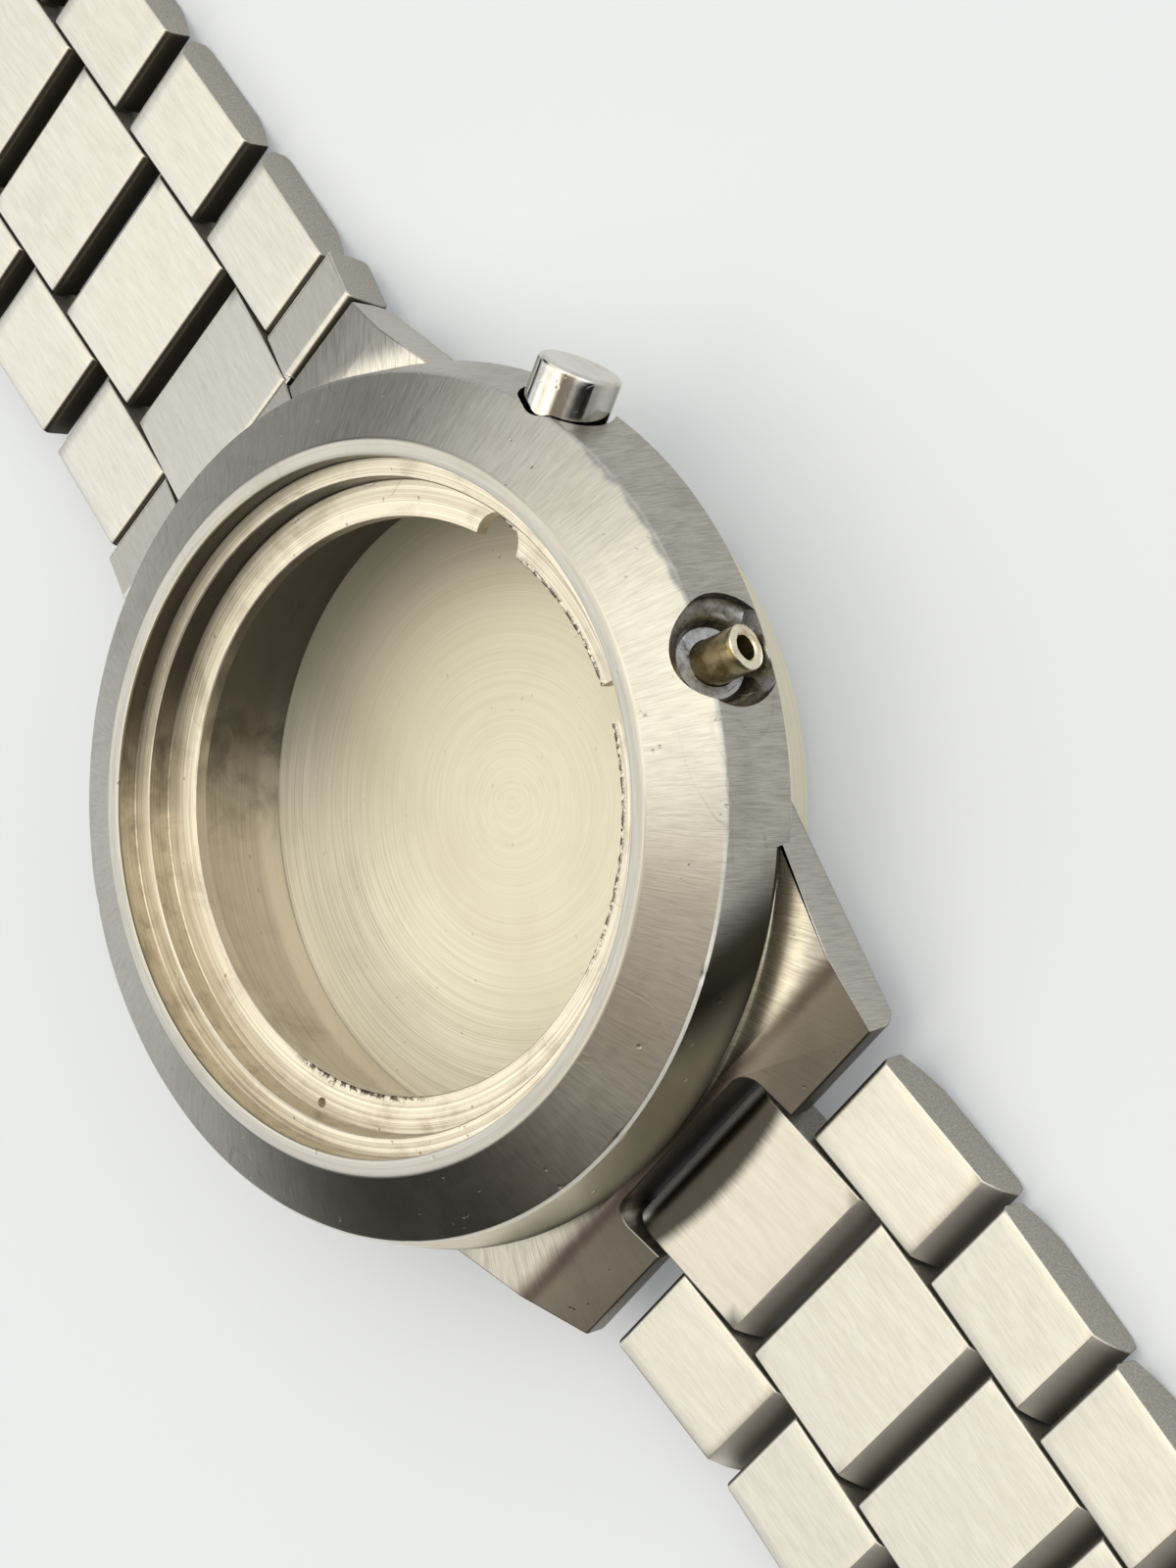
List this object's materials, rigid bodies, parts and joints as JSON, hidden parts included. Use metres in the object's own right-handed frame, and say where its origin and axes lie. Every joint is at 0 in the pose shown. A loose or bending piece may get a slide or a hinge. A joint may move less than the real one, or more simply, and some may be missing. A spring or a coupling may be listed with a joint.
{
  "type": "empty watch case with bracelet",
  "caption": "Round steel watch case without crystal, dial or movement, on a lug plate, with one push button, a bare crown tube and a three-row hinged bracelet.",
  "frame": {"origin": "on the head's axis, in the plane of the case back's flat outer face", "axes": "+Z out through the dial opening, +X towards 3 o'clock, +Y towards 12 o'clock"},
  "size_m": [0.0432, 0.1298, 0.0119],
  "materials": {
    "case_steel": "satin steel, brushed outwards on the bezel and across the band",
    "plate_steel": "satin steel, brushed along the horns",
    "back_steel": "turned steel with fine concentric rings",
    "link_steel": "satin steel, brushed along the bracelet",
    "polished_steel": "polished steel",
    "tube_brass": "dull worn brass",
    "spring_steel": "bright drawn wire",
    "seal_rubber": "matt black"
  },
  "bodies": {
    "case": {"case_middle": "case_steel", "lug_plate": "plate_steel", "case_back": "back_steel", "case_back_gasket": "seal_rubber", "crown_tube": "tube_brass", "pusher_tube": "tube_brass", "pusher_gasket": "seal_rubber", "pusher_spring": "spring_steel", "spring_bar_tube_6": "spring_steel", "spring_bar_tips_6": "spring_steel", "spring_bar_spring_6": "spring_steel", "spring_bar_tube_12": "spring_steel", "spring_bar_tips_12": "spring_steel", "spring_bar_spring_12": "spring_steel"},
    "pusher": {"pusher_cap": "polished_steel", "pusher_stem": "spring_steel", "pusher_clip": "spring_steel"},
    "centre_6_1": {"centre_link_6_1": "link_steel"},
    "sides_6_1": {"side_links_6_1": "link_steel", "link_pins_6_1": "spring_steel"},
    "centre_6_2": {"centre_link_6_2": "link_steel"},
    "sides_6_2": {"side_links_6_2": "link_steel", "link_pins_6_2": "spring_steel"},
    "centre_6_3": {"centre_link_6_3": "link_steel"},
    "sides_6_3": {"side_links_6_3": "link_steel", "link_pins_6_3": "spring_steel"},
    "centre_6_4": {"centre_link_6_4": "link_steel"},
    "sides_6_4": {"side_links_6_4": "link_steel", "link_pins_6_4": "spring_steel"},
    "centre_6_5": {"centre_link_6_5": "link_steel"},
    "end_link_12": {"end_link_12": "link_steel", "end_link_pin_12": "spring_steel"},
    "centre_12_1": {"centre_link_12_1": "link_steel"},
    "sides_12_1": {"side_links_12_1": "link_steel", "link_pins_12_1": "spring_steel"},
    "centre_12_2": {"centre_link_12_2": "link_steel"},
    "sides_12_2": {"side_links_12_2": "link_steel", "link_pins_12_2": "spring_steel"},
    "centre_12_3": {"centre_link_12_3": "link_steel"},
    "sides_12_3": {"side_links_12_3": "link_steel", "link_pins_12_3": "spring_steel"},
    "centre_12_4": {"centre_link_12_4": "link_steel"},
    "sides_12_4": {"side_links_12_4": "link_steel", "link_pins_12_4": "spring_steel"},
    "centre_12_5": {"centre_link_12_5": "link_steel"}
  },
  "joints": [
    {"name": "pusher_slide", "type": "slide", "parent": "case", "child": "pusher", "axis": [-0.9361, -0.3518, 0], "range_m": [0, 0.0008], "stiffness_N_per_m": 400, "springref_m": -0.001, "deforming": ["pusher_spring"]},
    {"name": "hinge_6_1", "type": "hinge", "parent": "case", "child": "centre_6_1", "pos_m": [0, -0.02215, 0.0033], "axis": [1, 0, 0], "range_deg": [-19.07, 35.93]},
    {"name": "hinge_6_2", "type": "hinge", "parent": "centre_6_1", "child": "sides_6_1", "pos_m": [0, -0.02663, 0.00218], "axis": [1, 0, 0], "range_deg": [0, 20]},
    {"name": "hinge_6_3", "type": "hinge", "parent": "sides_6_1", "child": "centre_6_2", "pos_m": [0, -0.03087, 0.00158], "axis": [1, 0, 0], "range_deg": [0, 20]},
    {"name": "hinge_6_4", "type": "hinge", "parent": "centre_6_2", "child": "sides_6_2", "pos_m": [0, -0.03516, 0.00142], "axis": [1, 0, 0], "range_deg": [-3.93, 16.07]},
    {"name": "hinge_6_5", "type": "hinge", "parent": "sides_6_2", "child": "centre_6_3", "pos_m": [0, -0.03944, 0.00142], "axis": [1, 0, 0], "range_deg": [-6, 14]},
    {"name": "hinge_6_6", "type": "hinge", "parent": "centre_6_3", "child": "sides_6_3", "pos_m": [0, -0.04373, 0.00142], "axis": [1, 0, 0], "range_deg": [-6, 14]},
    {"name": "hinge_6_7", "type": "hinge", "parent": "sides_6_3", "child": "centre_6_4", "pos_m": [0, -0.04801, 0.00142], "axis": [1, 0, 0], "range_deg": [-6, 14]},
    {"name": "hinge_6_8", "type": "hinge", "parent": "centre_6_4", "child": "sides_6_4", "pos_m": [0, -0.0523, 0.00142], "axis": [1, 0, 0], "range_deg": [-6, 14]},
    {"name": "hinge_6_9", "type": "hinge", "parent": "sides_6_4", "child": "centre_6_5", "pos_m": [0, -0.05658, 0.00142], "axis": [1, 0, 0], "range_deg": [-6, 14]},
    {"name": "hinge_12_1", "type": "hinge", "parent": "case", "child": "end_link_12", "pos_m": [0, 0.02215, 0.0033], "axis": [-1, 0, 0], "range_deg": [-20.13, 34.87]},
    {"name": "hinge_12_2", "type": "hinge", "parent": "end_link_12", "child": "centre_12_1", "pos_m": [0, 0.02572, 0.00233], "axis": [-1, 0, 0], "range_deg": [0, 20]},
    {"name": "hinge_12_3", "type": "hinge", "parent": "centre_12_1", "child": "sides_12_1", "pos_m": [0, 0.02995, 0.00165], "axis": [-1, 0, 0], "range_deg": [0, 20]},
    {"name": "hinge_12_4", "type": "hinge", "parent": "sides_12_1", "child": "centre_12_2", "pos_m": [0, 0.03423, 0.00142], "axis": [-1, 0, 0], "range_deg": [-2.87, 17.13]},
    {"name": "hinge_12_5", "type": "hinge", "parent": "centre_12_2", "child": "sides_12_2", "pos_m": [0, 0.03852, 0.00142], "axis": [-1, 0, 0], "range_deg": [-6, 14]},
    {"name": "hinge_12_6", "type": "hinge", "parent": "sides_12_2", "child": "centre_12_3", "pos_m": [0, 0.0428, 0.00142], "axis": [-1, 0, 0], "range_deg": [-6, 14]},
    {"name": "hinge_12_7", "type": "hinge", "parent": "centre_12_3", "child": "sides_12_3", "pos_m": [0, 0.04709, 0.00142], "axis": [-1, 0, 0], "range_deg": [-6, 14]},
    {"name": "hinge_12_8", "type": "hinge", "parent": "sides_12_3", "child": "centre_12_4", "pos_m": [0, 0.05137, 0.00142], "axis": [-1, 0, 0], "range_deg": [-6, 14]},
    {"name": "hinge_12_9", "type": "hinge", "parent": "centre_12_4", "child": "sides_12_4", "pos_m": [0, 0.05566, 0.00142], "axis": [-1, 0, 0], "range_deg": [-6, 14]},
    {"name": "hinge_12_10", "type": "hinge", "parent": "sides_12_4", "child": "centre_12_5", "pos_m": [0, 0.05994, 0.00142], "axis": [-1, 0, 0], "range_deg": [-6, 14]}
  ]
}
